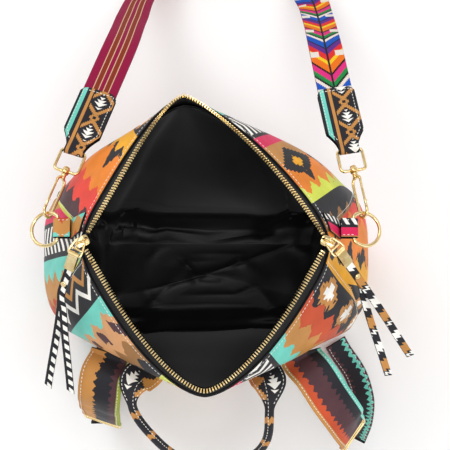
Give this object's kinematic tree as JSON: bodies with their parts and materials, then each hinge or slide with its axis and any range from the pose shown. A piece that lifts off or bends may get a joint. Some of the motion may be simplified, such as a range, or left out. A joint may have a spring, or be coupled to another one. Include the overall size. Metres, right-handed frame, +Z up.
{
  "type": "backpack",
  "caption": "Small printed leather backpack purse, standing with its zip mouth spread open, with a clip-on woven shoulder strap, rolled carry handle and back straps.",
  "frame": {"origin": "on the floor under the middle of the base panel", "axes": "+Z up, +Y to the bag's front, where the shoulder strap lies, -Y to the wearer's back, +X to the right in the picture"},
  "size_m": [0.3299, 0.5638, 0.2905],
  "materials": {
    "printed_leather": "printed, semi-gloss",
    "dark_leather": "printed, semi-gloss",
    "black_cloth": "satin",
    "base_board": "matte",
    "gold_metal": "polished",
    "webbing": "woven"
  },
  "bodies": {
    "bag": {"front_panel": "printed_leather", "back_panel": "printed_leather", "right_gusset": "printed_leather", "left_gusset": "printed_leather", "base_panel": "printed_leather", "base_board": "base_board", "lining": "black_cloth", "front_zip_tape": "black_cloth", "back_zip_tape": "black_cloth", "front_zip_teeth": "gold_metal", "back_zip_teeth": "gold_metal", "left_slider": "gold_metal", "right_slider": "gold_metal", "left_ring_tab": "printed_leather", "right_ring_tab": "printed_leather", "carry_handle": "dark_leather", "left_back_strap": "printed_leather", "right_back_strap": "printed_leather", "left_strap_slider": "gold_metal", "right_strap_slider": "gold_metal", "left_lower_strap": "dark_leather", "right_lower_strap": "dark_leather"},
    "strap": {"left_hook_loop": "gold_metal", "right_hook_loop": "gold_metal", "left_strap_end": "printed_leather", "right_strap_end": "printed_leather", "shoulder_strap": "webbing"},
    "left_hook": {"left_hook": "gold_metal"},
    "left_gate": {"left_hook_gate": "gold_metal"},
    "left_ring": {"left_ring": "gold_metal"},
    "left_pull": {"left_pull": "gold_metal"},
    "left_tassel": {"left_tassel_cap": "gold_metal", "left_tassel_strip": "dark_leather", "left_tassel_rivet": "gold_metal"},
    "right_hook": {"right_hook": "gold_metal"},
    "right_gate": {"right_hook_gate": "gold_metal"},
    "right_ring": {"right_ring": "gold_metal"},
    "right_pull": {"right_pull": "gold_metal"},
    "right_tassel": {"right_tassel_cap": "gold_metal", "right_tassel_strip": "dark_leather", "right_tassel_rivet": "gold_metal"}
  },
  "joints": [
    {"name": "strap_swing", "type": "hinge", "parent": "bag", "child": "strap", "pos_m": [0, 0.005, 0.236], "axis": [1, 0, 0], "range_deg": [0, 74]},
    {"name": "left_hook_swivel", "type": "hinge", "parent": "strap", "child": "left_hook", "pos_m": [-0.13369, 0.0066, 0.23547], "axis": [0.287, 0.9091, -0.302], "range_deg": [-7, 7]},
    {"name": "left_gate_press", "type": "hinge", "parent": "left_hook", "child": "left_gate", "pos_m": [-0.12726, 0.03606, 0.23095], "axis": [0.8712, -0.116, 0.4771], "range_deg": [0, 18], "stiffness_Nm_per_rad": 0.004, "springref_deg": -11.46},
    {"name": "left_ring_swing", "type": "hinge", "parent": "bag", "child": "left_ring", "pos_m": [-0.12493, -0.0094, 0.23937], "axis": [0, 1, 0], "range_deg": [-2, 2]},
    {"name": "left_pull_lift", "type": "hinge", "parent": "bag", "child": "left_pull", "pos_m": [-0.101, -0.028, 0.2733], "axis": [-0.891, 0.454, 0], "range_deg": [0, 90]},
    {"name": "left_tassel_swing", "type": "hinge", "parent": "left_pull", "child": "left_tassel", "pos_m": [-0.10684, -0.03947, 0.27149], "axis": [-0.891, 0.454, 0], "range_deg": [0, 45]},
    {"name": "right_hook_swivel", "type": "hinge", "parent": "strap", "child": "right_hook", "pos_m": [0.13394, 0.00664, 0.23544], "axis": [-0.142, 0.9363, -0.3211], "range_deg": [-7, 7]},
    {"name": "right_gate_press", "type": "hinge", "parent": "right_hook", "child": "right_gate", "pos_m": [0.13217, 0.03665, 0.23032], "axis": [0.8805, -0.029, -0.4732], "range_deg": [0, 18], "stiffness_Nm_per_rad": 0.004, "springref_deg": -11.46},
    {"name": "right_ring_swing", "type": "hinge", "parent": "bag", "child": "right_ring", "pos_m": [0.12493, -0.0094, 0.23937], "axis": [0, 1, 0], "range_deg": [-2, 2]},
    {"name": "right_pull_lift", "type": "hinge", "parent": "bag", "child": "right_pull", "pos_m": [0.101, -0.028, 0.2733], "axis": [-0.7071, -0.7071, 0], "range_deg": [0, 90]},
    {"name": "right_tassel_swing", "type": "hinge", "parent": "right_pull", "child": "right_tassel", "pos_m": [0.1101, -0.0371, 0.27149], "axis": [-0.7071, -0.7071, 0], "range_deg": [0, 45]}
  ]
}
